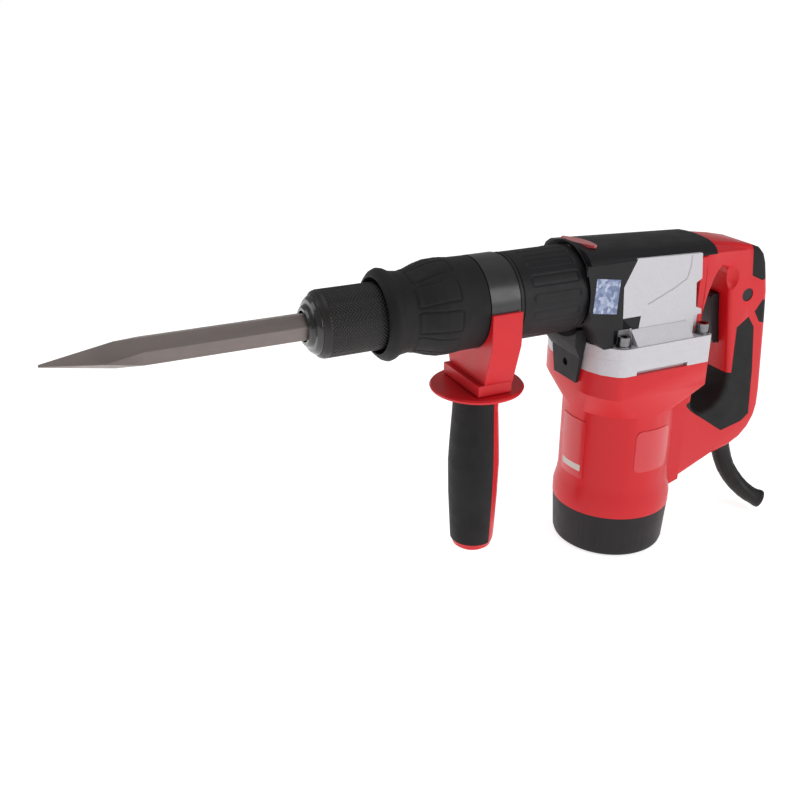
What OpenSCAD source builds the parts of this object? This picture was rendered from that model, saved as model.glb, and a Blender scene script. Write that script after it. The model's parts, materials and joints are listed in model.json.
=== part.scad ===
// Demolition hammer with a 17 mm hexagon bull point, a side handle and a rear D handle.
// +Z is up and the motor stands on Z. The tool points to -X. Millimetres.
// The origin is the middle of the motor end cap's flat underside.

/* [Main sizes] */
// Height of the tool axis above the underside of the end cap
axis_z = 213; // [208:1:220]
// Radius of the black barrel cover
barrel_r = 31; // [30:0.5:31.5]
// Half width of the gear housing flange
flange_half = 46; // [44:1:48]
// Radius of the red motor housing's round part
motor_r = 42.5; // [41:0.5:43]
// Radius of the end cap and of the housing's foot where they meet
foot_r = 45.4; // [45:0.2:46]
// Height of the end cap
cap_h = 35; // [32:1:38]

/* [Chisel] */
// Width across the flats of the chisel and of its socket
hex_af = 17; // [16.8:0.1:17.2]
// Whole length of the chisel
chisel_len = 280; // [270:5:285]
// Length of the forged point
point_len = 44; // [35:1:60]
// Turn of the hexagon about the tool axis
hex_turn = 15; // [0:1:30]

/* [Front end] */
// Front face of the nose ring
nose_x = -254; // [-256:1:-253]
// Radius of the knurled retaining sleeve
sleeve_r = 22.5; // [22:0.5:23]
// Travel of the retaining sleeve
sleeve_travel = 10; // [6:1:10]
// Front edge of the rubber front grip
grip_x0 = -205; // [-206:1:-203]
// Rear edge of the rubber front grip
grip_x1 = -135; // [-136:1:-134]
// Front edge of the barrel cover
cover_x0 = -108.3; // [-108.5:0.1:-108]

/* [Side handle] */
// Place of the side handle's axis along the tool
side_x = -126; // [-127:0.5:-123]
// Radius of the hand guard
guard_r = 33.7; // [30:0.5:35]
// Lowest point of the side handle, below the tool axis
side_bottom = -193.6; // [-198:0.2:-188]

/* [Drive] */
// Module of the gears
gear_module = 0.8; // [0.8:0.1:0.8]
// Teeth of the pinion cut on the armature shaft
pinion_teeth = 10; // [10:1:10]
// Teeth of the crank gear
crank_teeth = 38; // [38:1:38]
// Throw of the crank, half of the piston's stroke
crank_throw = 9; // [7:0.5:9]

/* [Hidden] */
$fn = 96;
hull_fn = 32;
eps = 0.01;
run_fit = 0.05;   // radial clearance of a running fit
slip = 0.3;       // clearance between parts that move past each other
wall = 3;

flange_bot = -57;   // all heights below are measured from the tool axis
flange_seam = -44.5;
flange_top = -36;
flange_rear = 44;
plate_top = 24;
crank_x = gear_module * (pinion_teeth + crank_teeth) / 2;
gear_z0 = -52;
gear_h = 10;
web_z1 = -8;        // top of the crank web
rod_len = 62;
pin_x = crank_x - crank_throw;
wrist_x = pin_x - rod_len;
cyl_r = 16;         // bore of the cylinder
cap_screw_pcd = 70;
bolt_x = [-31, 38.5];
bolt_y = 39.5;
lug_hole_z = -56;

// ---------------------------------------------------------------- helpers

// Children are drawn with the tool axis as z = 0
module on_axis() { translate([0, 0, axis_z]) children(); }

// Round bar along X
module x_bar(x0, x1, r) {
    translate([x0, 0, 0]) rotate([0, 90, 0]) cylinder(h = x1 - x0, r = r);
}

// Ring along X
module x_ring(x0, x1, ro, ri) {
    difference() {
        x_bar(x0, x1, ro);
        x_bar(x0 - 1, x1 + 1, ri);
    }
}

// Body turned about the tool axis from points [x, r]
module x_turn(pts) {
    rotate([0, 90, 0]) rotate_extrude() polygon([for (p = pts) [p[1], p[0]]]);
}

// Hexagon bar along X, by its width across the flats
module hex_bar(x0, x1, af) {
    translate([x0, 0, 0]) rotate([0, 90, 0]) rotate([0, 0, hex_turn])
        linear_extrude(x1 - x0) circle(r = af / sqrt(3), $fn = 6);
}

// Round bar along Z
module z_bar(x, y, z0, z1, r) { translate([x, y, z0]) cylinder(h = z1 - z0, r = r); }

// Ring along Z
module z_ring(x, y, z0, z1, ro, ri) {
    difference() {
        z_bar(x, y, z0, z1, ro);
        z_bar(x, y, z0 - 1, z1 + 1, ri);
    }
}

// Outline in X and Z, drawn from y0 to y1
module xz_slab(y0, y1) { translate([0, y1, 0]) rotate([90, 0, 0]) linear_extrude(y1 - y0) children(); }

// Outline moved inwards by d, for points that run anticlockwise
function unit(v) = v / norm(v);
function left(v) = [-v[1], v[0]];
function vsum(pts, k, i = 0) = i == len(pts) ? 0 : pts[i][k] + vsum(pts, k, i + 1);
function inset(pts, d) = [for (i = [0 : len(pts) - 1])
    let (n = len(pts), a = left(unit(pts[i] - pts[(i + n - 1) % n])), b = left(unit(pts[(i + 1) % n] - pts[i])))
        pts[i] + d * (a + b) / (1 + a * b)];

// Slab about y = 0 in the XZ outline pts, whose long edges are rounded with radius edge.
// A negative side makes a cutter instead, which opens out towards both faces.
module round_slab(pts, half, edge, side = 1, steps = 4) {
    bend = [for (i = [0 : steps]) let (a = 90 * i / steps) [half - edge * (1 - sin(a)), side * edge * (1 - cos(a))]];
    outer = side > 0 ? bend : concat(bend, [[half + 1, -edge]]);
    n = len(outer);
    levels = [for (i = [0 : 2 * n - 1]) i < n ? [-outer[n - 1 - i][0], outer[n - 1 - i][1]] : outer[i - n]];
    m = len(pts);
    mid = [for (k = [0, 1]) vsum(pts, k) / m];
    last = len(levels) - 1;
    skin = concat([for (l = levels) for (p = inset(pts, l[1])) [p[0], l[0], p[1]]],
        [[mid[0], levels[0][0], mid[1]], [mid[0], levels[last][0], mid[1]]]);
    c0 = m * (last + 1);
    polyhedron(skin, concat(
        [for (k = [0 : m - 1]) [(k + 1) % m, k, c0]],
        [for (k = [0 : m - 1]) [last * m + k, last * m + (k + 1) % m, c0 + 1]],
        [for (i = [0 : last - 1]) for (k = [0 : m - 1]) let (j = (k + 1) % m, c = i * m)
            each [[c + k, c + j, c + m + j], [c + k, c + m + j, c + m + k]]]));
}

// Involute gear outline. Stub teeth with a 25 degree pressure angle mesh without undercut.
pressure = 25;
addendum = 0.8;
dedendum = 1.1;
backlash = 0.06;
function inv_angle(rb, r) = r <= rb ? 0 : sqrt(r * r / (rb * rb) - 1) * 180 / PI - acos(rb / r);
module gear_outline(teeth) {
    rp = gear_module * teeth / 2;
    rb = rp * cos(pressure);
    ra = rp + addendum * gear_module;
    rr = rp - dedendum * gear_module;
    half = 90 / teeth - backlash / rp * 180 / PI + inv_angle(rb, rp);
    steps = 5;
    lo = max(rb, rr);
    flank = [for (i = [0 : steps]) let (r = lo + (ra - lo) * i / steps) [r, half - inv_angle(rb, r)]];
    polygon([for (t = [0 : teeth - 1]) let (c = 360 * t / teeth) each concat(
        [[rr * cos(c - half), rr * sin(c - half)]],
        [for (f = flank) [f[0] * cos(c - f[1]), f[0] * sin(c - f[1])]],
        [for (i = [steps : -1 : 0]) let (f = flank[i]) [f[0] * cos(c + f[1]), f[0] * sin(c + f[1])]],
        [[rr * cos(c + half), rr * sin(c + half)]]
    )]);
}

// Ball bearing on Z, drawn as an inner ring, an outer ring and its balls
module bearing(x, z0, h, ro, ri) {
    race = (ro - ri) * 0.3;
    mid = (ro + ri) / 2;
    ball = (ro - ri) / 2 - race + 0.2;
    z_ring(x, 0, z0, z0 + h, ri + race, ri + run_fit);
    z_ring(x, 0, z0, z0 + h, ro, ro - race);
    for (a = [0 : 45 : 315])
        translate([x + mid * cos(a), mid * sin(a), z0 + h / 2]) sphere(r = ball - 0.25, $fn = 24);
}

// ---------------------------------------------------------------- tool and front end

tip_x = nose_x - 161;
chisel_end = tip_x + chisel_len;
ball_x = -232;
ball_r = 3.5;
ball_at = 10.5;     // distance of the retainer balls from the axis
tool_out = 12;      // play of the chisel outwards

module ball_places() {
    for (s = [0, 180]) rotate([s + hex_turn + 30, 0, 0]) translate([ball_x, 0, ball_at]) children();
}

// Cross section of the forged point, a diamond that is scaled along the tool
module point_ridges(x, k) translate([x, 0, 0]) rotate([90, 0, 90]) linear_extrude(0.5)
    polygon([for (a = [0 : 90 : 270]) k * hex_af / 2 * (a % 180 == 0 ? 1.155 : 1.14) * [cos(a), sin(a)]]);

module chisel() color("#4a4140") on_axis() {
    slot_l = tool_out + 2 * ball_r + 1;
    slot_x = ball_x - ball_r - 0.5;
    wide = 1.7;     // the forging planes are carried on past the hexagon by this factor
    difference() {
        intersection() {
            hex_bar(tip_x, chisel_end, hex_af);
            // four flat faces forged to a blunt point, one ridge in line with the near corner
            rotate([hex_turn, 0, 0]) hull() {
                point_ridges(tip_x, 0.12);
                point_ridges(tip_x + wide * point_len, wide);
                translate([chisel_end, -hex_af, -hex_af]) cube([1, 2 * hex_af, 2 * hex_af]);
            }
        }
        for (s = [0, 180]) rotate([s + hex_turn + 30, 0, 0])
            translate([slot_x, -4, hex_af / 2 - 2]) cube([slot_l, 8, 4]);
    }
}

module nose_ring() color("#1c1b1c") on_axis() difference() {
    x_turn([[nose_x, 0], [nose_x, 12], [nose_x + 1, 13.5], [nose_x + 3, 14.5], [nose_x + 3.5, 17],
            [nose_x + 5, 18.5], [-247.5, 19.5], [-247.2, 19.5], [-247.2, 0]]);
    x_bar(nose_x - 1, -246, hex_af / sqrt(3) + 0.4);
}

module retaining_sleeve() color("#1f1e1f") on_axis() difference() {
    x_turn([[-247, 15.8], [-247, 19.8], [-245, 21.8], [-242.6, sleeve_r], [-198, sleeve_r],
            [-197, 21.5], [-197, 20], [-226, 20], [-226, 16.2], [-229, 16.2], [-229, 15.8]]);
}

module sleeve_spring() color("#8a8a8c") on_axis() {
    wire = 1.1;
    coil_r = 18;
    turns = 6;
    per_turn = 14;
    sides = 6;
    x0 = -226 + wire + 0.2;
    x1 = -184.5 - wire;
    n = turns * per_turn;
    ring = [for (i = [0 : n]) let (a = 360 * i / per_turn, x = x0 + (x1 - x0) * i / n)
        for (k = [0 : sides - 1]) let (b = 360 * k / sides, r = coil_r + wire * cos(b))
            [x + wire * sin(b), r * cos(a), r * sin(a)]];
    skin = [for (i = [0 : n - 1]) for (k = [0 : sides - 1]) let (a = i * sides, m = (k + 1) % sides)
        each [[a + k, a + m, a + sides + m], [a + k, a + sides + m, a + sides + k]]];
    polyhedron(ring, concat(skin, [[for (k = [sides - 1 : -1 : 0]) k]],
        [[for (k = [0 : sides - 1]) n * sides + k]]));
}

module retainer_balls() color("#b9bbbe") on_axis() ball_places() sphere(r = ball_r, $fn = 48);

module tool_holder() color("#5b5b5e") on_axis() difference() {
    x_turn([[-247, 0], [-247, 15.5], [-184, 15.5], [-184, 17], [-106, 17], [-106, 0]]);
    hex_bar(-248, -138, hex_af + 0.4);
    x_bar(-139, -105, 12.4);
    ball_places() cylinder(h = 12, r = ball_r + 0.1, center = true);
}

module front_grip() color("#242223") on_axis() difference() {
    x_turn([[grip_x0, 25.5], [grip_x0 + 0.5, 27.5], [-202, 30], [-199.5, 31], [-197, 30.4],
            [-193, 28.2], [-186, 27.3], [-180, 28.2], [-172, 31], [-165, 32.6], [-156, 32.9],
            [-148, 32], [grip_x1, 31.75], [grip_x1, 24.2], [-184.2, 24.2], [-184.2, 24.6],
            [-190, 25.5]]);
}

module barrel_housing() color("#2b2a2c") on_axis() difference() {
    x_turn([[-184, 17.1], [-184, 24], [grip_x1, 24], [grip_x1, 30.6], [-114.5, 30.6], [-114.5, 30.6],
            [cover_x0 - 0.3, 30.6], [cover_x0 - 0.3, 27.6], [-50, 27.6], [-50, 19.6], [-106, 19.6],
            [-106, 17.1]]);
}

module barrel_cover() color("#232225") on_axis()
    x_turn([[cover_x0, 27.8], [cover_x0, barrel_r - 0.5], [cover_x0 + 0.5, barrel_r],
            [-57.5, barrel_r], [-57.5, 27.8]]);

module barrel_seals() color("#141414") on_axis() {
    // one ring behind the front grip and one in front of the barrel cover
    x_ring(-111, -109, 31.2, 30.62);
    x_turn([[-190, 24.75], [-190, 25.3], [-187, 25.0], [-187, 24.7]]);
}

// ---------------------------------------------------------------- hammer mechanism

module impact_bolt() color("#77777a") on_axis()
    x_turn([[chisel_end + 0.5, 0], [chisel_end + 0.5, 7], [-132, 7.8], [-122, 7.8], [-120, 12],
            [-114, 12], [-112, 8.5], [-107, 8.5], [-107, 0]]);

module impact_seals() color("#1a1a1a") on_axis() {
    x_ring(-129, -126, 12.35, 8.3);
    x_ring(cover_x0 + 8, cover_x0 + 11, 19.55, 16.95 + 0.2);
}

striker_x = -102;
module striker() color("#6d6d70") on_axis()
    x_turn([[striker_x, 0], [striker_x, 8], [striker_x + 6, 8], [striker_x + 7, cyl_r - run_fit],
            [striker_x + 24, cyl_r - run_fit], [striker_x + 24, 0]]);

module cylinder_liner() {
    difference() {
        x_bar(-95, -9, 19.5);
        x_bar(-96, -8, cyl_r);
    }
}
module cylinder_node() color("#9a9b9e") on_axis() cylinder_liner();

module piston() color("#a3a4a8") on_axis() difference() {
    x_turn([[wrist_x - 18, 0], [wrist_x - 18, cyl_r - run_fit], [wrist_x + 10, cyl_r - run_fit],
            [wrist_x + 10, 11.5], [wrist_x - 7, 11.5], [wrist_x - 7, 0]]);
    // cross hole for the wrist pin
    z_bar(wrist_x, 0, -20, 20, 4);
}

module wrist_pin() color("#c4c6c9") on_axis() z_bar(wrist_x, 0, -13.5, 13.5, 4 - 0.02);

module connecting_rod() color("#838488") on_axis() difference() {
    union() {
        z_bar(wrist_x, 0, -6, 6, 7);
        z_bar(pin_x, 0, -6, 6, 8);
        translate([wrist_x, -4, -5]) cube([rod_len, 8, 10]);
    }
    z_bar(wrist_x, 0, -7, 7, 4 + run_fit);
    z_bar(pin_x, 0, -7, 7, 4.5);
}

// The pin ends just above the web: the slider crank is opened here
module crank_pin() color("#c4c6c9") on_axis() z_bar(pin_x, 0, web_z1 + 0.4, 8, 4.5);

module crankshaft() color("#8f9094") on_axis() {
    web_h = 10;
    z_bar(crank_x, 0, gear_z0 - 1.5, web_z1 - web_h, 6);
    difference() {
        hull() {
            z_bar(crank_x, 0, web_z1 - web_h, web_z1, 12);
            z_bar(pin_x, 0, web_z1 - web_h, web_z1, 7.5);
        }
        z_bar(pin_x, 0, web_z1 - 6, web_z1 + 1, 4.6);
    }
}

module crank_gear() color("#97989b") on_axis() translate([crank_x, 0, gear_z0]) difference() {
    rotate([0, 0, 180 / crank_teeth]) linear_extrude(gear_h) gear_outline(crank_teeth);
    translate([0, 0, -1]) cylinder(h = gear_h + 2, r = 6);
    for (a = [0 : 60 : 300]) rotate([0, 0, a]) translate([10, 0, -1]) cylinder(h = gear_h + 2, r = 2.2);
}

module crank_bearings() color("#b4b6ba") on_axis() {
    bearing(crank_x, -40, 8, 13, 6);
    bearing(crank_x, -29, 8, 13, 6);
}

// ---------------------------------------------------------------- gear housing

module flange_outline() {
    front_x = -51;
    edge = [[-32, flange_half], [-37, 43.5], [-44.5, 35], [-49, 24], [front_x, 12]];
    polygon(concat([for (p = edge) [p[0], p[1]]], [for (i = [len(edge) - 1 : -1 : 0]) [edge[i][0], -edge[i][1]]],
        [[flange_rear - 2, -flange_half], [flange_rear, -flange_half + 2], [flange_rear, flange_half - 2],
         [flange_rear - 2, flange_half]]));
}

module plate_outline() {
    polygon([[-31, flange_top], [-31, -26], [-30, 5.5], [-18, plate_top], [38.5, plate_top - 2.4],
             [38.5, 3.5], [33.5, 1], [33.5, -16.5], [38.5, -18.5], [38.5, flange_top]]);
}

// Half width of the housing, whose sides lean in from the flange to the covers
function side_y(z) = 38.5 - 8 * (z - flange_top) / 60;
module leaning(x0, x1, z0, z1) translate([x0, 0, 0]) rotate([90, 0, 90]) linear_extrude(x1 - x0)
    polygon([[-side_y(z0), z0], [side_y(z0), z0], [side_y(z1), z1], [-side_y(z1), z1]]);
module housing_block() intersection() {
    leaning(-40, 45, flange_top - 1, plate_top + 1);
    xz_slab(-60, 60) plate_outline();
}

module crank_room() {
    room_y = 17.5;
    translate([-12, -room_y, -19.9]) cube([12 + crank_x + room_y, 2 * room_y, 35.9]);
    z_bar(crank_x, 0, flange_top - 10, -18, 13);
}

module gear_room(z0, z1) {
    z_bar(crank_x, 0, z0, z1, 17);
    z_bar(0, 0, z0, z1, 7);
}

module bolt_places() { for (x = bolt_x, s = [-1, 1]) translate([x, s * bolt_y, 0]) children(); }

// Sloping shelf between the bolts
module shelf(gap) hull() {
    translate([-22 - gap, -44.5 - gap, flange_top - 2]) cube([49, 89 + 2 * gap, 2]);
    translate([-24 - gap, -37.5 - gap, -25]) cube([49, 75 + 2 * gap, eps]);
}

module gear_housing() color("#b4b2b8") on_axis() difference() {
    union() {
        translate([0, 0, flange_seam]) linear_extrude(flange_top - flange_seam) flange_outline();
        housing_block();
        translate([-30, -26, flange_top - 2]) cube([68.5, 52, 57]);
        shelf(0);
        x_bar(-49.5, -28, 30);
    }
    x_bar(-60, -20, 27.7);
    x_bar(-60, -8, 19.56);
    crank_room();
    gear_room(flange_seam - 1, -40.5);
    // round pockets that let the screw heads in
    bolt_places() translate([0, 0, flange_top]) cylinder(h = 14, r1 = 8, r2 = 6.5);
    bolt_places() translate([0, 0, flange_seam - 1]) cylinder(h = 12, r = 3.1);
}

module flange_plate() color("#bdbbc0") on_axis() difference() {
    union() {
        translate([0, 0, flange_bot]) linear_extrude(flange_seam - flange_bot) flange_outline();
        z_bar(0, 0, -68, flange_bot + 1, 15);
    }
    gear_room(flange_bot + 3, flange_seam + 1);
    z_bar(0, 0, -69, -60, 11);
    z_bar(0, 0, -61, flange_bot + 4, 6);
    // long slots above the motor housing on both sides
    for (s = [-1, 1]) translate([-22, s * flange_half - 3, flange_bot - 1]) cube([45, 6, 4]);
    bolt_places() translate([0, 0, flange_bot - 1]) cylinder(h = 15, r = 3.1);
    translate([-60, -3, lug_hole_z]) rotate([0, 90, 0]) cylinder(h = 21, r = 2.6);
}

module housing_screws() color("#9a9a9e") on_axis() bolt_places() {
    translate([0, 0, flange_top]) cylinder(h = 1.2, r = 5.4);
    difference() {
        translate([0, 0, flange_top + 1.2]) cylinder(h = 6.6, r = 4.4);
        translate([0, 0, flange_top + 4.2]) cylinder(h = 5, r = 2.5, $fn = 6);
    }
    translate([0, 0, flange_bot - 14]) cylinder(h = flange_top - flange_bot + 14.5, r = 3);
}

// Roof of the black covers: crowned, with sloping shoulders, lower and narrower at the rear
module roof_end(x, half) translate([x, 0, 0]) rotate([90, 0, 90]) linear_extrude(0.5)
    polygon(concat(half, [for (i = [len(half) - 1 : -1 : 0]) [-half[i][0], half[i][1]]]));
module roof() hull() {
    roof_end(-56.5, [[side_y(18), 18], [side_y(22), 22], [28, 26.6], [22, 30.6], [10, 32.2], [0, 32.6]]);
    roof_end(56, [[side_y(14), 14], [29.6, 19.5], [23, 24.4], [17, 26.4], [8, 27.3], [0, 27.5]]);
}

split_x = -9;
cover_rear = 55;
module front_shell() color("#2a262b") on_axis() {
    cheek = [[split_x, 10], [split_x, 40], [-54, 40], [-57, 31], [-60.5, 20], [-61.5, 9], [-60, -5],
             [-56, -19], [-50, -33], [-47, flange_top], [-20, flange_top]];
    lug_y = -3;     // the lug stands a little to the left
    difference() {
        union() {
            intersection() {
                leaning(-90, split_x, flange_top, 23);
                xz_slab(-60, 60) polygon(cheek);
            }
            intersection() {
                roof();
                xz_slab(-60, 60) polygon(cheek);
            }
            // visor over the barrel
            intersection() {
                x_bar(-80, -50, barrel_r + 3.3);
                linear_extrude(60) polygon([[-50, -27], [-57, -26.5], [-64, -23], [-69, -16], [-71.5, -8],
                    [-72, 0], [-71.5, 8], [-69, 16], [-64, 23], [-57, 26.5], [-50, 27]]);
                translate([-80, -40, -10]) cube([40, 80, 43.6]);
            }
            // apron under the barrel and the lug in front of the flange
            hull() {
                translate([-59, -21, -38]) cube([9, 42, 12]);
                translate([-54, lug_y - 17, -47]) cube([3, 36, 2]);
            }
            hull() {
                translate([-54, lug_y - 17.5, -48]) cube([2.9, 35, 2]);
                translate([-53.5, lug_y - 14, -68]) cube([2.4, 28, 2]);
            }
        }
        x_bar(-80, -49.4, barrel_r + 0.2);
        // hollow collar round the barrel
        x_turn([[-80, 31], [-80, 36], [-59.5, 35.6], [-57.5, 33], [-56.5, 31]]);
        x_bar(-50, -27.9, 30.02);
        housing_block();
        // inside, round the aluminium core
        translate([-32, -30, flange_top - 1]) cube([60, 60, 59]);
        shelf(0.02);
        translate([0, 0, flange_top - 30]) linear_extrude(30.01) flange_outline();
        bolt_places() translate([0, 0, flange_top - 0.1]) cylinder(h = 12, r = 8);
        translate([-60, lug_y, lug_hole_z]) rotate([0, 90, 0]) cylinder(h = 20, r = 2.9);
        badge_body(0.05);
    }
}

module shell_screw() color("#1d1d1f") on_axis() difference() {
    translate([0, -3, lug_hole_z]) x_bar(-52, -42, 2.5);
    translate([-53, -3, lug_hole_z]) rotate([0, 90, 0]) cylinder(h = 2.5, r = 1.3, $fn = 6);
}

// Lens shaped badge across the front of the top
module badge_body(gap) {
    translate([-49, -2, 32.6]) rotate([0, 0, 12]) intersection() {
        translate([30, 0, -1.2]) cylinder(h = 2.2, r = 35 + gap);
        translate([-30, 0, -1.2]) cylinder(h = 2.2, r = 35 + gap);
        translate([-20, -16, -1.2]) cube([40, 32, 2.2]);
    }
}
module top_badge() color("#c8505c") on_axis() badge_body(0);

module top_cover() color("#262428") on_axis() difference() {
    intersection() {
        roof();
        xz_slab(-60, 60) polygon([[split_x, 16], [51.5, 16], [cover_rear, 22], [cover_rear, 40], [split_x, 40]]);
    }
    housing_block();
    translate([split_x - 1, -27, 10]) cube([49, 54, 11.5]);
    translate([split_x + wall, -22, 20]) cube([44, 44, 4.5]);
    translate([38.5, -40, 10]) cube([30, 80, 9]);
}

module foil_label() color("#9fb0d8") on_axis()
    translate([-44.5, -(side_y(1) + 0.12), 1]) rotate([-7.6, 0, 0]) rotate([0, 9, 0])
        translate([-10, -0.1, -12]) cube([20, 0.2, 24]);

// ---------------------------------------------------------------- motor

module motor_shape(inset) {
    top_z = axis_z + flange_bot;
    r = motor_r - inset;
    translate([0, 0, cap_h]) rotate_extrude() polygon([[0, 0], [foot_r - inset, 0], [foot_r - inset, 9],
        [r + 1, 17], [r, 24], [r, top_z - cap_h - 20], [0, top_z - cap_h - 20]]);
    hull() {
        translate([0, 0, 138]) linear_extrude(eps) offset(delta = -inset) flange_outline();
        translate([0, 0, 118]) cylinder(h = eps, r = r);
    }
    translate([0, 0, 138]) linear_extrude(top_z - 138) offset(delta = -inset) flange_outline();
}

module motor_housing() color("#e0202a") difference() {
    union() {
        motor_shape(0);
        // rear web that carries the D handle
        hull() {
            translate([20, -20, 128]) cube([31, 40, eps]);
            translate([20, -20, 44]) cube([31, 40, eps]);
            translate([20, -20, 40]) cube([18, 40, eps]);
        }
    }
    difference() {
        translate([0, 0, cap_h - 1]) cylinder(h = 98, r = 38.5);
        boss_places() translate([0, 0, cap_h - 2]) cylinder(h = 18.5, r = 6);
    }
    hull() {
        translate([0, 0, 132]) cylinder(h = eps, r = 38.5);
        translate([0, 0, 150]) cylinder(h = 20, r = 38.5);
    }
    translate([0, 0, axis_z + flange_bot - 4]) linear_extrude(5) offset(delta = -6) flange_outline();
    for (s = [-1, 1]) translate([0, s * motor_r, 88]) rotate([90, 0, 0]) cylinder(h = 14, r = 7, center = true);
    translate([0, 0, axis_z]) bolt_places() translate([0, 0, flange_bot - 15]) cylinder(h = 20, r = 3.1);
    translate([-60, -3, axis_z + lug_hole_z]) rotate([0, 90, 0]) cylinder(h = 21, r = 2.6);
    boss_places() translate([0, 0, cap_h - 2]) cylinder(h = 22, r = 2.6);
}

module rating_plate() color("#c61f2b") intersection() {
    difference() {
        cylinder(h = 200, r = motor_r + 0.35);
        cylinder(h = 200, r = motor_r + 0.02);
    }
    translate([-60, -20, 62]) rotate([0, 0, 12]) cube([60, 26, 48]);
}

module side_panels() color("#e63a42") intersection() {
    difference() {
        cylinder(h = 200, r = motor_r + 0.4);
        cylinder(h = 200, r = motor_r + 0.02);
    }
    for (s = [-1, 1]) translate([4, s * 40, 90]) rotate([90, 0, 0]) linear_extrude(30, center = true)
        offset(r = 5, $fn = 24) square([22, 24], center = true);
}

stack_z0 = 62;
stack_z1 = 112;
module stator() color("#8d6f58") difference() {
    union() {
        z_bar(0, 0, stack_z0, stack_z1, 38);
        z_ring(0, 0, stack_z0 - 9, stack_z1 + 7, 36, 25);
    }
    z_bar(0, 0, stack_z0 - 20, stack_z1 + 20, 22.4);
    for (s = [-1, 1]) translate([s * 40, 0, 0]) cube([10, 20, 300], center = true);
}

pinion_z1 = axis_z + gear_z0 + gear_h + 1;
module armature_shaft() color("#a6a8ab") {
    z_bar(0, 0, 14.2, axis_z + gear_z0 - 2, 5);
    translate([0, 0, axis_z + gear_z0 - 2]) linear_extrude(pinion_z1 - axis_z - gear_z0 + 2)
        gear_outline(pinion_teeth);
}

module armature_core() color("#7c5a44") difference() {
    union() {
        z_bar(0, 0, stack_z0 + 2, stack_z1 - 2, 21.8);
        z_bar(0, 0, stack_z0 - 5, stack_z1 + 5, 17);
    }
    z_bar(0, 0, 0, 200, 5);
    for (a = [0 : 30 : 330]) rotate([0, 0, a]) translate([21.5, 0, 50]) cylinder(h = 70, r = 1.6);
}

module commutator() color("#b5713c") difference() {
    z_bar(0, 0, 36, 52, 13);
    z_bar(0, 0, 35, 53, 5);
    for (a = [0 : 15 : 345]) rotate([0, 0, a]) translate([12.2, -0.3, 35]) cube([2, 0.6, 20]);
}

module cooling_fan() color("#dedede") difference() {
    union() {
        z_bar(0, 0, 122, 124.5, 36);
        z_bar(0, 0, 122, 136, 9);
        for (a = [0 : 24 : 336]) rotate([0, 0, a]) translate([18, -0.8, 124]) cube([16, 1.6, 11]);
    }
    z_bar(0, 0, 121, 137, 5);
}

module armature_bearings() color("#b4b6ba") {
    bearing(0, 14, 8, 11, 5);
    bearing(0, 146, 7, 11, 5);
}

module brush_holders() color("#8d6c33") for (s = [-1, 1]) difference() {
    translate([-6, s == 1 ? 15 : -34, 37.5]) cube([12, 19, 14]);
    translate([-4, s == 1 ? 14 : -35, 39.5]) cube([8, 21, 10]);
}

module carbon_brushes() color("#3a3a3c") for (s = [-1, 1])
    translate([-4, s == 1 ? 13.3 : -27.3, 39.5]) cube([8, 14, 10]);

module boss_places() { for (a = [45 : 90 : 315]) rotate([0, 0, a]) translate([cap_screw_pcd / 2, 0, 0]) children(); }

module end_cap() color("#1e1d1e") difference() {
    rotate_extrude() polygon([[0, 0], [40.5, 0], [42.5, 1.5], [43.3, 4], [foot_r - 0.2, cap_h], [0, cap_h]]);
    difference() {
        translate([0, 0, wall]) cylinder(h = cap_h, r = 39.5);
        cylinder(h = 22, r = 15);
        boss_places() cylinder(h = cap_h, r = 6);
    }
    translate([0, 0, 13.5]) cylinder(h = 20, r = 11);
    boss_places() translate([0, 0, -1]) cylinder(h = 60, r = 2.6);
    boss_places() translate([0, 0, -1]) cylinder(h = 9, r = 4.6);
}

module cap_screws() color("#8d8d90") boss_places() {
    translate([0, 0, 4.5]) cylinder(h = 3.5, r = 4.3);
    translate([0, 0, 8]) cylinder(h = 42, r = 2.5);
}

// ---------------------------------------------------------------- rear handle

handle_half = 19.5;
handle_pts = [[32, -176.5], [51, -168.5], [64, -163], [84, -154.5], [101, -150.5], [112, -145], [120, -137], [125, -127.5], [126.8, -118], [126.5, -105],
    [124.5, -82], [121.5, -48], [118.5, -20], [116, -8], [113.5, 3], [110.5, 10], [105.5, 15], [97, 18.2],
    [81, 21.6], [58, 25.2], [32, 27]];
loop_pts = [[56.5, -40], [56.5, -104], [58.2, -109], [62, -112.5], [68, -114], [77, -111.5], [84, -105], [88, -95],
    [88.5, -83], [85.5, -60], [82, -37], [80.5, -25], [79, -12], [78, -2], [75.5, 3], [71, 4.5], [67, 1],
    [63.5, -6], [60.5, -16], [58, -27]];

// Side view of the moulded rubber
module rubber_zone() {
    polygon([[102.2, -39], [109, -48.5], [114, -85], [117, -124], [110, -129.5], [90, -134], [56, -110.5], [50, -104],
             [70, -96], [80, -84], [92.5, -84], [91.6, -46.5]]);
    polygon([[99.4, 30], [98.2, 18.5], [97.2, 15.3], [100, -6], [110.5, -11], [130, -8], [130, 30]]);
    polygon([[130, -29], [114, -27], [107.6, -35.8], [113.4, -44.8], [130, -50]]);
}

// Body of the D handle, d inside its outer skin
module handle_body(d) difference() {
    round_slab(inset(handle_pts, d), handle_half - d, 4.5);
    loop_cut(d);
    xz_slab(-60, 60) polygon([[20, 60], [39 + d, 60], [39 + d, flange_top + d], [flange_rear + d, flange_top + d],
        [flange_rear + d, flange_bot + d], [51 + d, flange_bot + d], [51 + d, -190], [20, -190]]);
}
module loop_cut(d) round_slab(inset(loop_pts, -d), handle_half - d, 3.5, -1);

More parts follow.
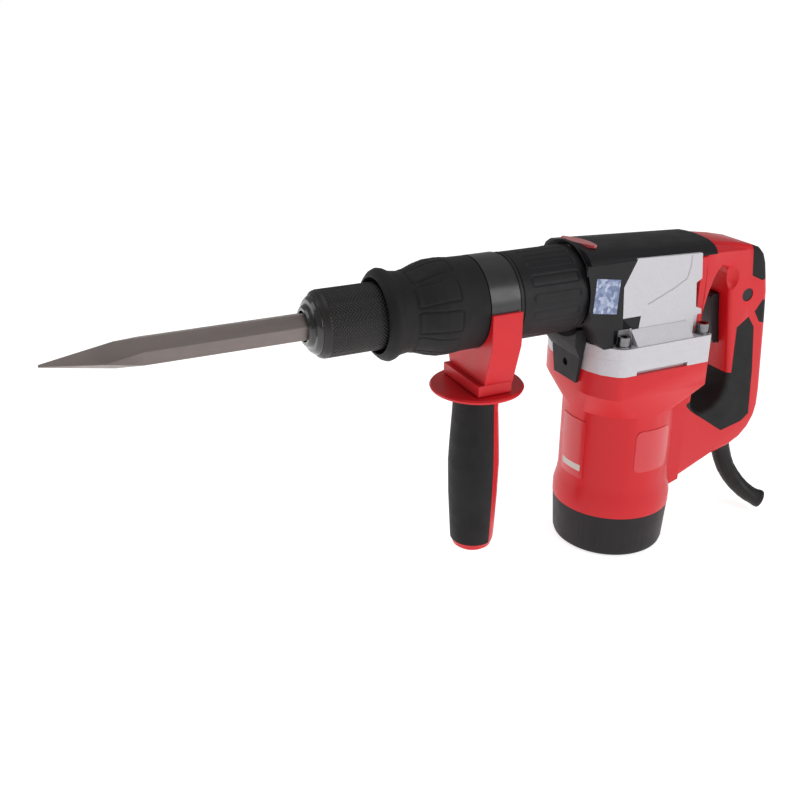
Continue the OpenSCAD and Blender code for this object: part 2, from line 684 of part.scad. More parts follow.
// The broad mounting end behind the gear housing
module handle_wide(d) {
    hull() {
        translate([39 + d, -31 + d, flange_top + d]) cube([5, 62 - 2 * d, 54 - d]);
        translate([39 + d, 0.4 - handle_half + d, flange_top + d])
            cube([17 - 2 * d, 2 * (handle_half - d - 0.4), 60 - 2 * d]);
    }
    hull() {
        translate([39 + d, -29.5 + d, 8]) cube([12, 59 - 2 * d, 11.5 - d]);
        translate([39 + d, -24 + d, 8]) cube([14, 48 - 2 * d, 15.4 - d]);
        translate([90, 0.4 - handle_half + d, 10]) cube([4, 2 * (handle_half - d - 0.4), 5 - d]);
        translate([90, -13 + d, 10]) cube([4, 26 - 2 * d, 8 - d]);
    }
}

module handle_full() difference() {
    union() {
        handle_body(0);
        difference() {
            handle_wide(0);
            loop_cut(0);
        }
    }
    // the rubber lies in a shallow bed
    difference() {
        xz_slab(-60, 60) rubber_zone();
        handle_body(1.6);
    }
    top_cover_room();
    // inside
    difference() {
        union() {
            handle_body(wall);
            translate([42, -26, -32]) cube([10, 52, 46]);
        }
        for (p = screw_spots) translate([p[0], 0, p[1]]) rotate([90, 0, 0]) cylinder(h = 60, r = 5, center = true);
    }
    for (p = screw_spots) translate([p[0], -12.5, p[1]]) rotate([-90, 0, 0]) cylinder(h = 40, r = 2);
    for (p = screw_spots) translate([p[0], 40, p[1]]) rotate([90, 0, 0]) cylinder(h = 27, r = 4);
    // thumb scoops, trigger slot, button hole and cord hole
    for (s = [-1, 1]) translate([77, s * (handle_half + 9.8), -6]) sphere(r = 14);
    translate([70, -8.5, -62]) cube([22, 17, 42]);
    translate([98, 0, -21]) rotate([90, 0, 0]) cylinder(h = 30, r = 5.2);
    hull() for (p = [guard_pts[0], guard_pts[2]]) translate(p) sphere(r = 9.4, $fn = hull_fn);
}

// The rear cover's end lies over the front of the handle
module top_cover_room() xz_slab(-60, 60)
    polygon([[30, 19], [38.5, 19], [51.5, 19], [53.6, 19], [cover_rear + 0.1, 22], [cover_rear + 0.1, 45], [30, 45]]);
screw_spots = [[63, 14], [107, -4], [119.5, -112], [62, -150]];

module handle_left() color("#e0202a") on_axis() intersection() {
    handle_full();
    translate([0, -100, -300]) cube([300, 100, 500]);
}
module handle_right() color("#e0202a") on_axis() intersection() {
    handle_full();
    translate([0, 0, -300]) cube([300, 100, 500]);
}

module handle_rubber() color("#242224") on_axis() difference() {
    intersection() {
        handle_body(0);
        xz_slab(-60, 60) rubber_zone();
    }
    handle_body(1.6);
    translate([70, -8.5, -62]) cube([22, 17, 42]);
    translate([98, 0, -21]) rotate([90, 0, 0]) cylinder(h = 30, r = 5.3);
    for (p = screw_spots) translate([p[0], 40, p[1]]) rotate([90, 0, 0]) cylinder(h = 27, r = 4);
}

module handle_screws() color("#8d8d90") on_axis() for (p = screw_spots) translate([p[0], 0, p[1]]) {
    translate([0, 13, 0]) rotate([-90, 0, 0]) cylinder(h = 3, r = 3.6);
    translate([0, -12, 0]) rotate([-90, 0, 0]) cylinder(h = 25, r = 1.95);
}

module trigger() color("#2a292b") on_axis() difference() {
    xz_slab(-8, 8) polygon([[73, -22.5], [76, -20.5], [88, -20.5], [90, -61], [81, -61.5], [78, -57]]);
    z_bar(0, 0, -300, -200, 1);
}

module lock_button() color("#19191a") on_axis()
    translate([98, 0, -21]) rotate([90, 0, 0]) translate([0, 0, 4]) cylinder(h = 15, r = 4.9);

module switch_body() color("#2f2f33") on_axis() translate([95.6, -9, -66]) cube([14, 18, 38]);

guard_pts = [[103, 0, -129], [106, 0, -146], [109, -2.5, -162], [111.5, -8, -177], [118, -17, -190],
             [127, -24, -199], [136, -29, -203.5]];

// Curved rubber sleeve that the mains lead leaves through
guard_rings = 24;
guard_sides = 16;
guard_last = len(guard_pts) - 1;
function guard_along(t) = let (i = min(floor(t), guard_last - 1), f = t - i)
    guard_pts[i] * (1 - f) + guard_pts[i + 1] * f;
guard_mid = [for (i = [0 : guard_rings]) let (t = guard_last * i / guard_rings)
    (guard_along(max(t - 0.45, 0)) + 2 * guard_along(t) + guard_along(min(t + 0.45, guard_last))) / 4];
guard_dir = [for (i = [0 : guard_rings])
    let (d = guard_mid[min(i + 1, guard_rings)] - guard_mid[max(i - 1, 0)]) d / norm(d)];
// Thick collar in the handle, slim body, flared lip at the end
function guard_r_at(i) = i == 1 || i == 2 ? 10
    : i >= guard_rings - 1 ? 7.6 : i == guard_rings - 2 ? 7.1 : 8.3 - 1.7 * i / guard_rings;
function guard_skin(r_of) = [for (i = [0 : guard_rings]) for (k = [0 : guard_sides - 1])
    let (a = 360 * k / guard_sides, r = r_of(i), c = cross([0, 1, 0], guard_dir[i]), n = c / norm(c),
         u = cross(guard_dir[i], n)) guard_mid[i] + r * (n * cos(a) + u * sin(a))];
function guard_faces(n, m) = concat(
    [for (i = [0 : n - 1]) for (k = [0 : m - 1]) let (a = i * m, j = (k + 1) % m)
        each [[a + k, a + m + j, a + j], [a + k, a + m + k, a + m + j]]],
    [[for (k = [0 : m - 1]) k]], [[for (k = [m - 1 : -1 : 0]) n * m + k]]);
module cord_guard() color("#1b1b1c") on_axis() difference() {
    polyhedron(guard_skin(function (i) guard_r_at(i)), guard_faces(guard_rings, guard_sides));
    polyhedron(guard_skin(function (i) i == 0 || i == guard_rings ? 3.9 : 4), guard_faces(guard_rings, guard_sides));
}

// ---------------------------------------------------------------- side handle

saddle_x0 = -134.5;
saddle_x1 = -111.8;
module side_saddle() color("#e0202a") on_axis() difference() {
    union() {
        hull() {
            translate([saddle_x0, -34.5, -22]) cube([saddle_x1 - saddle_x0, 69, 22]);
            translate([saddle_x0, -34, -23]) cube([saddle_x1 - saddle_x0, 68, 1]);
        }
        hull() {
            translate([saddle_x0, -34.3, -24]) cube([saddle_x1 - saddle_x0, 68.6, 2]);
            translate([saddle_x0, -25, -54]) cube([saddle_x1 - saddle_x0, 50, 1]);
        }
        translate([side_x - 13, -26, -60.5]) cube([26, 52, 8]);
    }
    x_bar(-140, -100, 32);
    translate([side_x - 8.2, -12, -47]) cube([16.4, 24, 25]);
    z_bar(side_x, 0, -70, -40, 4.2);
}

module clamp_strap() color("#39383b") on_axis() x_ring(saddle_x0 + 0.3, -114.8, 31.9, 30.9);

module clamp_bolt() color("#a6a7aa") on_axis() difference() {
    union() {
        z_bar(side_x, 0, -110, -45, 4);
        translate([side_x - 8, -10, -46]) cube([16, 20, 20]);
    }
    x_bar(-140, -100, 32);
}

module side_grip() color("#d9202a") on_axis() difference() {
        translate([side_x, 0, 0]) rotate_extrude() polygon([[0, -61.2], [guard_r - 1, -61.2], [guard_r, -62.4],
            [guard_r - 0.6, -64], [20, -66.5], [16.6, -68.5], [16.2, -80], [17.6, -105], [18.4, -123], [17.8, -150],
            [16.6, -178], [16, -186], [14.4, -191], [11, side_bottom], [0, side_bottom]]);
    side_rubber_zone();
    z_bar(side_x, 0, -115, -60, 4 + run_fit);
    translate([side_x, 0, -190]) cylinder(h = 70, r = 11);
}

// The rubber covers the front of the grip and leaves a strip of the core bare behind
module side_rubber_zone() {
    intersection() {
        translate([side_x, 0, 0]) rotate_extrude() polygon([[12.6, -70], [30, -70], [30, -186.5], [12.6, -186.5]]);
        translate([side_x - 40, -40, -195]) cube([46, 80, 130]);
    }
}

module side_rubber() color("#262427") on_axis() intersection() {
    side_rubber_zone();
    translate([side_x, 0, 0]) rotate_extrude() polygon([[0, -70], [16.6, -70], [17, -82], [18.4, -105],
        [19.2, -123], [18.5, -150], [16.9, -178], [16.3, -187], [0, -187]]);
}

// ---------------------------------------------------------------- nodes

chisel();
nose_ring();
retaining_sleeve();
sleeve_spring();
retainer_balls();
tool_holder();
front_grip();
barrel_housing();
barrel_cover();
barrel_seals();
impact_bolt();
impact_seals();
striker();
cylinder_node();  // cylinder
piston();
wrist_pin();
connecting_rod();
crank_pin();
crankshaft();
crank_gear();
crank_bearings();
gear_housing();
flange_plate();
housing_screws();
front_shell();
shell_screw();
top_badge();
top_cover();
foil_label();
motor_housing();
rating_plate();
side_panels();
stator();
armature_shaft();
armature_core();
commutator();
cooling_fan();
armature_bearings();
brush_holders();
carbon_brushes();
end_cap();
cap_screws();
handle_left();
handle_right();
handle_rubber();
handle_screws();
trigger();
lock_button();
switch_body();
cord_guard();
side_saddle();
clamp_strap();
clamp_bolt();
side_grip();
side_rubber();
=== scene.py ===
"""Looks of the demolition hammer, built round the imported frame.

Lengths are in metres, except outlines and sizes that say mm.
"""

import json
import math

import bmesh
import bpy
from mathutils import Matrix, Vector


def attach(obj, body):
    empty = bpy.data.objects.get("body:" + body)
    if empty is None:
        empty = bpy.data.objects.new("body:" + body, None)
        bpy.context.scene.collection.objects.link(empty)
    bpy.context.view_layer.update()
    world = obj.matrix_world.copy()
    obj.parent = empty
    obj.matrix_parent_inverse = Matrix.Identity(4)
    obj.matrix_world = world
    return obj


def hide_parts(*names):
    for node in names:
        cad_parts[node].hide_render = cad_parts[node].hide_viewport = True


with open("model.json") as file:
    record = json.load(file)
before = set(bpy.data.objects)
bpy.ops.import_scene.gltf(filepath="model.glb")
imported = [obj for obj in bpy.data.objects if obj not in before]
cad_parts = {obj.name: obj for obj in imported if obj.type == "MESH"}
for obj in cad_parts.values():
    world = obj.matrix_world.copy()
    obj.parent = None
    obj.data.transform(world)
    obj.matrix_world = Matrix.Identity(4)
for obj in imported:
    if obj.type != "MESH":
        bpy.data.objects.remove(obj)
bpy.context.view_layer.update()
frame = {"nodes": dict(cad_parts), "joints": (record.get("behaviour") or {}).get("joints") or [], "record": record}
NODES = frame["nodes"]
MM = 0.001
JOINTS = {j["name"]: j for j in frame["joints"]}
BODY_OF = {node: body for body, nodes in frame["record"]["behaviour"]["bodies"].items() for node in nodes}
SLOT_OF = {s["node"]: s["material_slot"] for s in frame["record"]["subparts"]}
AXIS_Z = JOINTS["side_handle_swing"]["pos_m"][2]
COVER_X0 = min(v.co.x for v in NODES["barrel_cover"].data.vertices) / MM


# ---------------------------------------------------------------- materials


class Shader:
    """A Principled material and short calls that add nodes to it."""

    def __init__(self, name, **sockets):
        self.material = bpy.data.materials.new(name)
        self.material.use_nodes = True
        self.tree = self.material.node_tree
        self.bsdf = self.tree.nodes["Principled BSDF"]
        self.where = self.node("ShaderNodeTexCoord").outputs["Object"]
        for socket, value in sockets.items():
            self.bsdf.inputs[socket.replace("_", " ")].default_value = value

    def node(self, kind, **properties):
        made = self.tree.nodes.new(kind)
        for key, value in properties.items():
            setattr(made, key, value)
        return made

    def link(self, a, b):
        self.tree.links.new(a, b)

    def stretched(self, scale):
        """Object coordinates scaled along each axis, so that a pattern runs in streaks."""
        mapping = self.node("ShaderNodeMapping")
        mapping.inputs["Scale"].default_value = scale
        self.link(self.where, mapping.inputs["Vector"])
        return mapping.outputs["Vector"]

    def noise(self, scale, detail=4.0, roughness=0.55, stretch=None):
        made = self.node("ShaderNodeTexNoise")
        made.inputs["Scale"].default_value = scale
        made.inputs["Detail"].default_value = detail
        made.inputs["Roughness"].default_value = roughness
        self.link(self.stretched(stretch) if stretch else self.where, made.inputs["Vector"])
        return made.outputs["Fac"]

    def cells(self, scale, feature="F1"):
        made = self.node("ShaderNodeTexVoronoi", feature=feature)
        made.inputs["Scale"].default_value = scale
        self.link(self.where, made.inputs["Vector"])
        return made.outputs["Distance"]

    def ramp(self, factor, stops):
        """stops are (place, value or colour)."""
        made = self.node("ShaderNodeValToRGB")
        ramp = made.color_ramp
        while len(ramp.elements) < len(stops):
            ramp.elements.new(0.5)
        for element, (place, value) in zip(ramp.elements, stops):
            element.position = place
            element.color = (*value, 1) if hasattr(value, "__len__") else (value, value, value, 1)
        self.link(factor, made.inputs["Fac"])
        return made.outputs["Color"]

    def mix(self, factor, a, b):
        made = self.node("ShaderNodeMix", data_type="RGBA")
        self.link(factor, made.inputs["Factor"])
        for socket, value in (("A", a), ("B", b)):
            target = next(s for s in made.inputs if s.name == socket and s.type == "RGBA")
            if hasattr(value, "is_linked"):
                self.link(value, target)
            else:
                target.default_value = (*value, 1)
        return next(s for s in made.outputs if s.type == "RGBA")

    def edges(self, width=0.55, soft=0.06):
        """1 on convex edges, 0 elsewhere."""
        geometry = self.node("ShaderNodeNewGeometry")
        return self.ramp(geometry.outputs["Pointiness"], [(width - soft, 0.0), (width + soft, 1.0)])

    def colour(self, socket):
        self.link(socket, self.bsdf.inputs["Base Color"])

    def rough(self, socket):
        self.link(socket, self.bsdf.inputs["Roughness"])

    def bump(self, height, strength, distance):
        """Each call adds a layer over the ones before it."""
        made = self.node("ShaderNodeBump")
        made.inputs["Strength"].default_value = strength
        made.inputs["Distance"].default_value = distance
        self.link(height, made.inputs["Height"])
        before = self.bsdf.inputs["Normal"].links
        if before:
            self.link(before[0].from_socket, made.inputs["Normal"])
        self.link(made.outputs["Normal"], self.bsdf.inputs["Normal"])


def plastic(name, low, high, rough, grain, grain_mm=0.05, coat=0.0):
    """Moulded plastic: fine spark-eroded grain, faint mottling and handling marks."""
    s = Shader(name, Coat_Weight=coat, Coat_Roughness=0.2, Specular_IOR_Level=0.3)
    s.colour(s.mix(s.noise(35.0, 5.0), low, high))
    s.rough(s.ramp(s.noise(70.0, 6.0, 0.65), [(0.3, rough - 0.06), (0.7, rough + 0.07)]))
    s.bump(s.cells(1400.0), grain, grain_mm * MM)
    s.bump(s.noise(260.0, 3.0), 0.12, 0.08 * MM)
    return s.material


def red_plastic():
    return plastic("red_plastic", (0.60, 0.008, 0.014), (0.69, 0.012, 0.019), 0.40, 0.18, coat=0.10)


def label_red():
    s = Shader("label_red", Coat_Weight=0.4, Coat_Roughness=0.12)
    s.colour(s.mix(s.noise(60.0), (0.60, 0.012, 0.020), (0.68, 0.018, 0.026)))
    s.rough(s.ramp(s.noise(120.0, 5.0), [(0.3, 0.28), (0.7, 0.36)]))
    s.bump(s.noise(500.0, 2.0), 0.08, 0.03 * MM)
    return s.material


def badge_red():
    s = Shader("badge_red", Coat_Weight=0.8, Coat_Roughness=0.06)
    s.colour(s.mix(s.noise(90.0), (0.50, 0.05, 0.06), (0.62, 0.08, 0.09)))
    s.rough(s.ramp(s.noise(200.0, 4.0), [(0.3, 0.20), (0.7, 0.30)]))
    return s.material


def black_plastic():
    return plastic("black_plastic", (0.008, 0.007, 0.0085), (0.013, 0.011, 0.0135), 0.52, 0.30)


def band_plastic():
    s = Shader("band_plastic", Coat_Weight=0.3, Coat_Roughness=0.25)
    s.colour(s.mix(s.noise(40.0), (0.016, 0.015, 0.017), (0.024, 0.022, 0.025)))
    s.rough(s.ramp(s.noise(90.0, 6.0), [(0.3, 0.30), (0.7, 0.42)]))
    s.bump(s.noise(900.0, 3.0), 0.10, 0.03 * MM)
    return s.material


def strap_paint():
    s = Shader("strap_paint", Coat_Weight=0.3, Coat_Roughness=0.2)
    s.colour(s.mix(s.noise(50.0), (0.014, 0.013, 0.014), (0.022, 0.020, 0.022)))
    s.rough(s.ramp(s.noise(130.0, 6.0), [(0.3, 0.34), (0.7, 0.46)]))
    s.bump(s.noise(800.0, 3.0), 0.10, 0.03 * MM)
    return s.material


def switch_plastic():
    return plastic("switch_plastic", (0.010, 0.010, 0.011), (0.018, 0.017, 0.019), 0.38, 0.15)


def fan_plastic():
    return plastic("fan_plastic", (0.60, 0.59, 0.55), (0.70, 0.69, 0.64), 0.45, 0.15)


def black_rubber():
    """Moulded rubber: deep matte, pebbled, with a little dust in the hollows."""
    s = Shader("black_rubber", Specular_IOR_Level=0.28, Sheen_Weight=0.04, Sheen_Roughness=0.5)
    dust = s.ramp(s.noise(55.0, 6.0, 0.6), [(0.45, 0.0), (0.8, 1.0)])
    s.colour(s.mix(dust, (0.007, 0.0064, 0.0068), (0.014, 0.0125, 0.0135)))
    s.rough(s.ramp(s.noise(110.0, 5.0), [(0.3, 0.58), (0.7, 0.74)]))
    s.bump(s.cells(900.0), 0.35, 0.07 * MM)
    s.bump(s.noise(320.0, 3.0), 0.15, 0.10 * MM)
    return s.material


def seal_rubber():
    s = Shader("seal_rubber", Specular_IOR_Level=0.35)
    s.colour(s.mix(s.noise(80.0), (0.008, 0.008, 0.008), (0.015, 0.014, 0.014)))
    s.rough(s.ramp(s.noise(150.0, 5.0), [(0.3, 0.42), (0.7, 0.56)]))
    s.bump(s.noise(700.0, 3.0), 0.12, 0.05 * MM)
    return s.material


def gloss_black():
    s = Shader("gloss_black", Coat_Weight=0.6, Coat_Roughness=0.10)
    s.colour(s.mix(s.noise(60.0), (0.007, 0.007, 0.007), (0.013, 0.012, 0.012)))
    s.rough(s.ramp(s.noise(180.0, 6.0), [(0.3, 0.20), (0.7, 0.32)]))
    s.bump(s.noise(600.0, 2.0), 0.06, 0.03 * MM)
    return s.material


def black_steel():
    """Blackened knurled steel, rubbed brighter on the crests."""
    s = Shader("black_steel", Metallic=0.45)
    worn = s.mix(s.edges(0.53, 0.05), (0.012, 0.011, 0.011), (0.060, 0.054, 0.052))
    s.colour(s.mix(s.noise(45.0, 5.0), worn, (0.014, 0.013, 0.013)))
    s.rough(s.ramp(s.noise(140.0, 6.0), [(0.3, 0.34), (0.7, 0.48)]))
    s.bump(s.noise(900.0, 3.0), 0.15, 0.03 * MM)
    return s.material


def forged_steel():
    """Dull bronze-grey tempered steel with mill streaks along the bar and small pits."""
    s = Shader("steel_bronze", Metallic=0.55)
    streaks = s.noise(260.0, 5.0, 0.6, stretch=(0.08, 1, 1))
    body = s.mix(streaks, (0.085, 0.066, 0.062), (0.150, 0.120, 0.112))
    scale_marks = s.ramp(s.noise(95.0, 7.0, 0.7), [(0.46, 0.0), (0.62, 1.0)])
    body = s.mix(scale_marks, body, (0.110, 0.090, 0.086))
    s.colour(s.mix(s.edges(0.535, 0.03), body, (0.36, 0.31, 0.29)))
    s.rough(s.ramp(s.noise(130.0, 6.0), [(0.3, 0.38), (0.7, 0.54)]))
    s.bump(streaks, 0.18, 0.06 * MM)
    s.bump(s.noise(420.0, 6.0, 0.7), 0.25, 0.07 * MM)
    return s.material


def silver_paint():
    """Fine-grained silver paint over cast aluminium."""
    s = Shader("cast_silver", Metallic=0.35)
    flake = s.ramp(s.cells(1900.0), [(0.15, 0.0), (0.75, 1.0)])
    body = s.mix(flake, (0.50, 0.485, 0.515), (0.66, 0.645, 0.675))
    s.colour(s.mix(s.noise(30.0, 5.0), body, (0.57, 0.555, 0.585)))
    s.rough(s.ramp(s.noise(160.0, 6.0), [(0.3, 0.42), (0.7, 0.56)]))
    s.bump(s.noise(1100.0, 4.0), 0.35, 0.05 * MM)
    return s.material


def metal(name, low, high, rough, streak=None, metallic=1.0):
    """Machined or ground metal with tool marks."""
    s = Shader(name, Metallic=metallic)
    marks = s.noise(420.0, 4.0, 0.6, stretch=streak or (1, 1, 1))
    s.colour(s.mix(marks, low, high))
    s.rough(s.ramp(s.noise(180.0, 6.0), [(0.3, rough - 0.06), (0.7, rough + 0.08)]))
    s.bump(marks, 0.15, 0.03 * MM)
    return s.material


def foil():
    """Plain foil film with a faint colour play in small facets."""
    s = Shader("foil", Metallic=0.75)
    facets = s.node("ShaderNodeTexVoronoi")
    facets.inputs["Scale"].default_value = 420.0
    s.link(s.where, facets.inputs["Vector"])
    pick = s.node("ShaderNodeSeparateColor")
    s.link(facets.outputs["Color"], pick.inputs["Color"])
    shades = [(0.2, (0.16, 0.20, 0.32)), (0.55, (0.24, 0.28, 0.42)), (0.9, (0.42, 0.47, 0.60))]
    s.colour(s.ramp(pick.outputs["Red"], shades))
    s.rough(s.ramp(s.noise(300.0, 4.0), [(0.3, 0.25), (0.7, 0.45)]))
    s.bump(s.noise(160.0, 4.0), 0.30, 0.10 * MM)
    return s.material


def laminations():
    """Varnished sheet stack: thin dark lines across the axis."""
    s = Shader("laminations", Metallic=0.5)
    s.colour(s.mix(s.noise(90.0, 4.0, 0.5, stretch=(0.2, 0.2, 14)), (0.16, 0.11, 0.08), (0.30, 0.22, 0.17)))
    s.rough(s.ramp(s.noise(150.0), [(0.3, 0.4), (0.7, 0.55)]))
    s.bump(s.noise(90.0, 3.0, 0.5, stretch=(0.2, 0.2, 14)), 0.4, 0.1 * MM)
    return s.material


MATERIALS = {
    "steel_bronze": forged_steel(),
    "gloss_black": gloss_black(),
    "black_steel": black_steel(),
    "spring_steel": metal("spring_steel", (0.42, 0.42, 0.43), (0.58, 0.58, 0.60), 0.32),
    "bearing_steel": metal("bearing_steel", (0.62, 0.63, 0.65), (0.74, 0.75, 0.77), 0.16),
    "machined_steel": metal("machined_steel", (0.34, 0.34, 0.36), (0.50, 0.50, 0.52), 0.30, (0.1, 1, 1)),
    "dark_steel": metal("dark_steel", (0.20, 0.20, 0.22), (0.32, 0.32, 0.34), 0.36),
    "black_rubber": black_rubber(),
    "black_plastic": black_plastic(),
    "band_plastic": band_plastic(),
    "strap_paint": strap_paint(),
    "seal_rubber": seal_rubber(),
    "red_plastic": red_plastic(),
    "label_red": label_red(),
    "badge_red": badge_red(),
    "foil": foil(),
    "cast_silver": silver_paint(),
    "cast_aluminium": metal("cast_aluminium", (0.50, 0.50, 0.52), (0.64, 0.64, 0.66), 0.38),
    "screw_steel": metal("screw_steel", (0.13, 0.13, 0.135), (0.26, 0.26, 0.27), 0.26),
    "laminations": laminations(),
    "copper": metal("copper", (0.62, 0.26, 0.13), (0.76, 0.38, 0.22), 0.28, (1, 1, 0.1)),
    "brass": metal("brass", (0.60, 0.42, 0.16), (0.72, 0.54, 0.26), 0.30),
    "graphite": metal("graphite", (0.035, 0.035, 0.037), (0.06, 0.06, 0.062), 0.55, metallic=0.2),
    "fan_plastic": fan_plastic(),
    "switch_plastic": switch_plastic(),
}


# ---------------------------------------------------------------- mesh tools


def paint(piece, slot):
    piece.data.materials.clear()
    piece.data.materials.append(MATERIALS[slot])
    return piece


def added(name, mesh, node, slot=None):
    """Puts a new mesh in the scene, rides it on the body of that CAD node and gives it its finish."""
    piece = bpy.data.objects.new(name, mesh)
    bpy.context.scene.collection.objects.link(piece)
    finish = slot or SLOT_OF[node]
    paint(piece, finish)
    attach(piece, BODY_OF[node])
    return piece


def shade(piece, degrees=35):
    """Smooth shading that keeps edges sharper than the angle."""
    mesh = piece.data
    bm = bmesh.new()
    bm.from_mesh(mesh)
    for face in bm.faces:
        face.smooth = True
    for edge in bm.edges:
        edge.smooth = len(edge.link_faces) == 2 and edge.calc_face_angle(0.0) < math.radians(degrees)
    bm.to_mesh(mesh)
    bm.free()


def moulded(node, edge_mm=0.6, segments=3, angle=30):
    """A copy of a CAD node whose triangles are merged into whole faces and whose edges are rounded."""
    mesh = NODES[node].data.copy()
    bm = bmesh.new()
    bm.from_mesh(mesh)
    bmesh.ops.remove_doubles(bm, verts=bm.verts, dist=0.002 * MM)
    bmesh.ops.dissolve_limit(bm, angle_limit=math.radians(0.5), verts=bm.verts, edges=bm.edges)
    bm.to_mesh(mesh)
    bm.free()
    piece = added(node + "_finished", mesh, node)
    shade(piece, angle)
    bevel = piece.modifiers.new("edges", "BEVEL")
    bevel.width = edge_mm * MM
    bevel.segments = segments
    bevel.limit_method = "ANGLE"
    bevel.angle_limit = math.radians(angle)
    bevel.use_clamp_overlap = True
    bevel.harden_normals = True
    bevel.miter_outer = "MITER_ARC"
    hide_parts(node)
    return piece


def lathed(node, profile, around, relief, zone, step):
    """A turned piece in place of a CAD node. profile is a closed outline of (x, radius) in mm, with the
    outer line first running towards +x. relief(x, angle, radius) gives the depth cut into it inside zone."""
    outline = []
    for (x0, r0), (x1, r1) in zip(profile, profile[1:] + profile[:1]):
        inside = x1 > x0 and x1 > zone[0] and x0 < zone[1]
        parts = max(1, int((x1 - x0) / step)) if inside else 1
        for k in range(parts):
            t = k / parts
            outline.append((x0 + (x1 - x0) * t, r0 + (r1 - r0) * t, inside))
    bm = bmesh.new()
    rings = []
    for x, r, cut in outline:
        ring = []
        for k in range(around):
            angle = math.tau * k / around
            depth = relief(x, angle, r) if cut and zone[0] < x < zone[1] else 0.0
            ring.append(bm.verts.new((x * MM, (r - depth) * MM * math.sin(angle),
                                      AXIS_Z + (r - depth) * MM * math.cos(angle))))
        rings.append(ring)
    for a, b in zip(rings, rings[1:] + rings[:1]):
        for k in range(around):
            j = (k + 1) % around
            bm.faces.new((a[k], a[j], b[j], b[k]))
    bmesh.ops.recalc_face_normals(bm, faces=bm.faces)
    mesh = bpy.data.meshes.new(node + "_turned")
    bm.to_mesh(mesh)
    bm.free()
    piece = added(node + "_turned", mesh, node)
    shade(piece, 40)
    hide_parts(node)
    return piece


def knurl(x, angle, radius):
    """Diamond knurl of 56 starts each way, with plain lands at both ends."""
    turn, lead = 28 * angle, 1.3 * x
    return 0.6 * (1 - min(abs(math.sin(turn + lead)), abs(math.sin(turn - lead))) ** 0.7)


def panel_lines(middle, half_length, half_width, count, depth):
    """A narrow channel round each of count rounded panels, for lathed."""

    def relief(x, angle, radius):
        pitch = math.tau / count
        across = (angle % pitch - pitch / 2) * radius
        qx, qy = abs(x - middle) - half_length + 2, abs(across) - half_width + 2
        edge = math.hypot(max(qx, 0), max(qy, 0)) + min(max(qx, qy), 0) - 2
        return depth * math.exp(-(edge / 0.65) ** 2)

    return relief


for node, cad in NODES.items():
    paint(cad, SLOT_OF[node])
    for polygon in cad.data.polygons:
        polygon.use_smooth = True

# ---------------------------------------------------------------- pieces

for node in ("gear_housing", "flange_plate", "front_shell", "top_cover", "motor_housing", "end_cap",
             "handle_left", "handle_right", "handle_rubber", "trigger", "side_saddle", "chisel"):
    moulded(node)
lathed("retaining_sleeve",
       [(-247, 19.8), (-245, 21.8), (-242.6, 22.5), (-198, 22.5), (-197, 21.5), (-197, 20),
        (-226, 20), (-226, 16.2), (-229, 16.2), (-229, 15.8), (-247, 15.8)],
       420, knurl, (-242, -198.5), 0.4)
lathed("front_grip", [(-205, 25.5), (-204.5, 27.5), (-202, 30), (-199.5, 31), (-197, 30.4), (-193, 28.2),
                      (-186, 27.3), (-180, 28.2), (-172, 31), (-165, 32.6), (-156, 32.9), (-148, 32),
                      (-135, 31.75), (-135, 24.2), (-184.2, 24.2), (-184.2, 24.6), (-190, 25.5)],
       320, panel_lines(-170, 14.5, 7.2, 10, 0.8), (-188, -150), 0.6)
lathed("barrel_cover", [(COVER_X0, 30.5), (COVER_X0 + 0.5, 31), (-57.5, 31), (-57.5, 27.8), (COVER_X0, 27.8)],
       320, panel_lines(-82, 18.5, 3.4, 16, 0.5), (-103, -60), 0.6)


def lofted(name, sections):
    """A closed mesh through sections, which are lists of the same number of points in mm."""
    bm = bmesh.new()
    rows = [[bm.verts.new(Vector(point) * MM) for point in section] for section in sections]
    count = len(rows[0])
    for a, b in zip(rows, rows[1:]):
        for k in range(count):
            j = (k + 1) % count
            bm.faces.new((a[k], a[j], b[j], b[k]))
    bm.faces.new(rows[0])
    bm.faces.new(rows[-1][::-1])
    bmesh.ops.recalc_face_normals(bm, faces=bm.faces)
    mesh = bpy.data.meshes.new(name)
    bm.to_mesh(mesh)
    bm.free()
    return mesh


def ridge(name, node, points, half_width, height, normal):
    """A low ridge along points in mm, triangular in section, that stands out along normal."""
    out = Vector(normal).normalized()
    root = out * 0.3
    sections = []
    for k, point in enumerate(points):
        along = Vector(points[min(k + 1, len(points) - 1)]) - Vector(points[max(k - 1, 0)])
        side = along.cross(out).normalized() * half_width
        at = Vector(point) + Vector((0, 0, AXIS_Z / MM))
        sections.append([at - side - root, at + out * height, at + side - root])
    return added(name, lofted(name, sections), node)


FLANGE_TOP = -36        # mm from the tool axis
FLANGE_HALF_WIDTH = 38.5
LEAN = 8 / 60           # how far each side leans in per mm of height


def housing_side(x, z, side):
    """A point on the leaning side of the gear housing, measured from the tool axis."""
    return (x, side * (FLANGE_HALF_WIDTH - LEAN * (z - FLANGE_TOP)), z)


def curved_patch(name, node, slot, radius, angles, heights, thickness):
    """A thin plate bent round the motor. Angles in degrees, lengths in mm."""
    steps = 24
    low, high = heights
    corners = ((radius, low), (radius + thickness, low), (radius + thickness, high), (radius, high))
    sections = []
    for k in range(steps + 1):
        a = math.radians(angles[0] + (angles[1] - angles[0]) * k / steps)
        sections.append([(r * math.cos(a), r * math.sin(a), z) for r, z in corners])
    piece = added(name, lofted(name, sections), node, slot)
    shade(piece)
    return piece


for side in (-1, 1):
    crease = [housing_side(x, z, side) for x, z in ((29, 21), (28.2, 13), (25, 5), (14, -0.5), (-9, -9))]
    ridge("plate_ridge_%s" % ("left" if side < 0 else "right"), "gear_housing",
          crease, 1.0, 0.5, (0, side, LEAN))

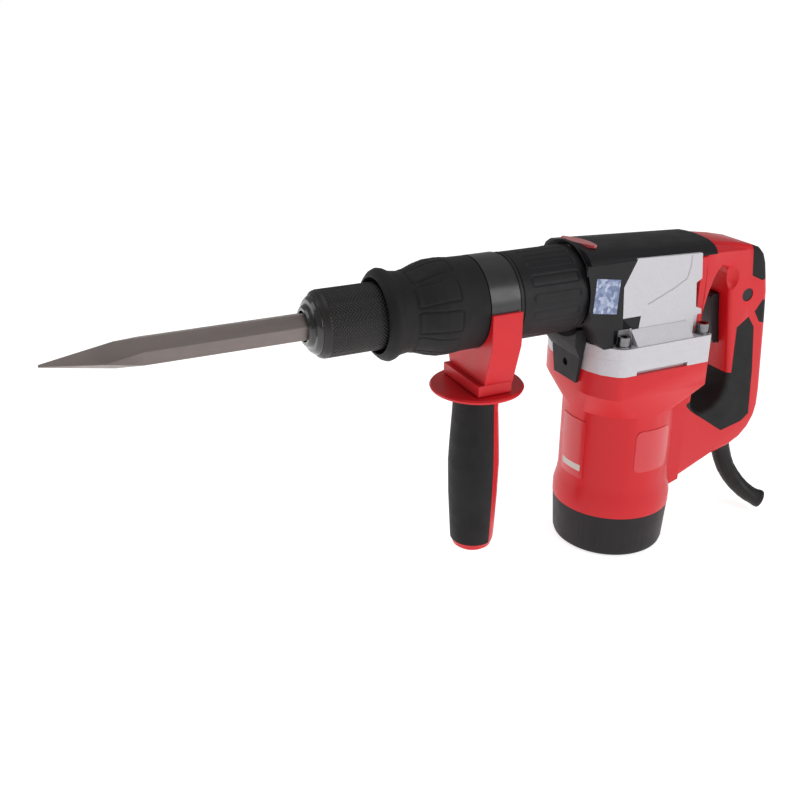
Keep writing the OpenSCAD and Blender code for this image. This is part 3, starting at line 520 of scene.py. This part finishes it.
label = [v.co / MM for v in NODES["rating_plate"].data.vertices]
label_angles = [math.degrees(math.atan2(v.y, v.x)) % 360 for v in label]
low, high = min(label_angles), max(label_angles)
label_r = max(math.hypot(v.x, v.y) for v in label)
foot = min(v.z for v in label)
curved_patch("label_strip", "rating_plate", "fan_plastic", label_r - 0.05,
             (low + 0.12 * (high - low), low + 0.9 * (high - low)), (foot + 6, foot + 11), 0.12)


# ---------------------------------------------------------------- stage


def area_light(name, at, towards, size, watts, colour=(1, 1, 1)):
    light = bpy.data.lights.new(name, "AREA")
    light.shape = "RECTANGLE"
    light.size, light.size_y = size
    light.energy = watts
    light.color = colour
    lamp = bpy.data.objects.new(name, light)
    bpy.context.scene.collection.objects.link(lamp)
    lamp.location = at
    lamp.rotation_euler = (Vector(towards) - Vector(at)).to_track_quat("-Z", "Y").to_euler()
    return lamp


def floor():
    bm = bmesh.new()
    bmesh.ops.create_grid(bm, x_segments=1, y_segments=1, size=40)
    mesh = bpy.data.meshes.new("floor")
    bm.to_mesh(mesh)
    bm.free()
    piece = bpy.data.objects.new("floor", mesh)
    bpy.context.scene.collection.objects.link(piece)
    piece.location.z = -0.0005
    s = Shader("floor", Specular_IOR_Level=0.1, Emission_Color=(1, 1, 1, 1), Emission_Strength=0.72)
    s.colour(s.mix(s.noise(0.6, 2.0), (0.93, 0.93, 0.93), (0.95, 0.95, 0.95)))
    s.rough(s.ramp(s.noise(3.0), [(0.0, 0.85), (1.0, 0.95)]))
    piece.data.materials.append(s.material)


def camera():
    data = bpy.data.cameras.new("camera")
    data.sensor_width = 36.0
    data.lens = 45.0
    data.clip_start = 0.01
    data.clip_end = 50.0
    cam = bpy.data.objects.new("camera", data)
    bpy.context.scene.collection.objects.link(cam)
    cam.location = (-0.4517, -0.5699, 0.4267)
    cam.rotation_euler = (math.radians(90 - 23.8), 0, math.radians(-25.0))
    bpy.context.scene.camera = cam


def studio():
    scene = bpy.context.scene
    scene.view_settings.view_transform = "Standard"
    scene.view_settings.look = "None"
    world = bpy.data.worlds.new("studio")
    scene.world = world
    world.use_nodes = True
    world.node_tree.nodes["Background"].inputs["Color"].default_value = (1, 1, 1, 1)
    world.node_tree.nodes["Background"].inputs["Strength"].default_value = 0.30
    middle = (0, 0, 0.14)
    area_light("key", (0.55, -1.25, 0.75), middle, (0.8, 0.8), 6.5)
    area_light("top", (-0.2, 0.1, 1.3), middle, (1.0, 0.8), 3)
    area_light("rim", (-1.1, 0.5, 0.6), middle, (0.5, 0.8), 1.8)
    floor()


camera()
studio()
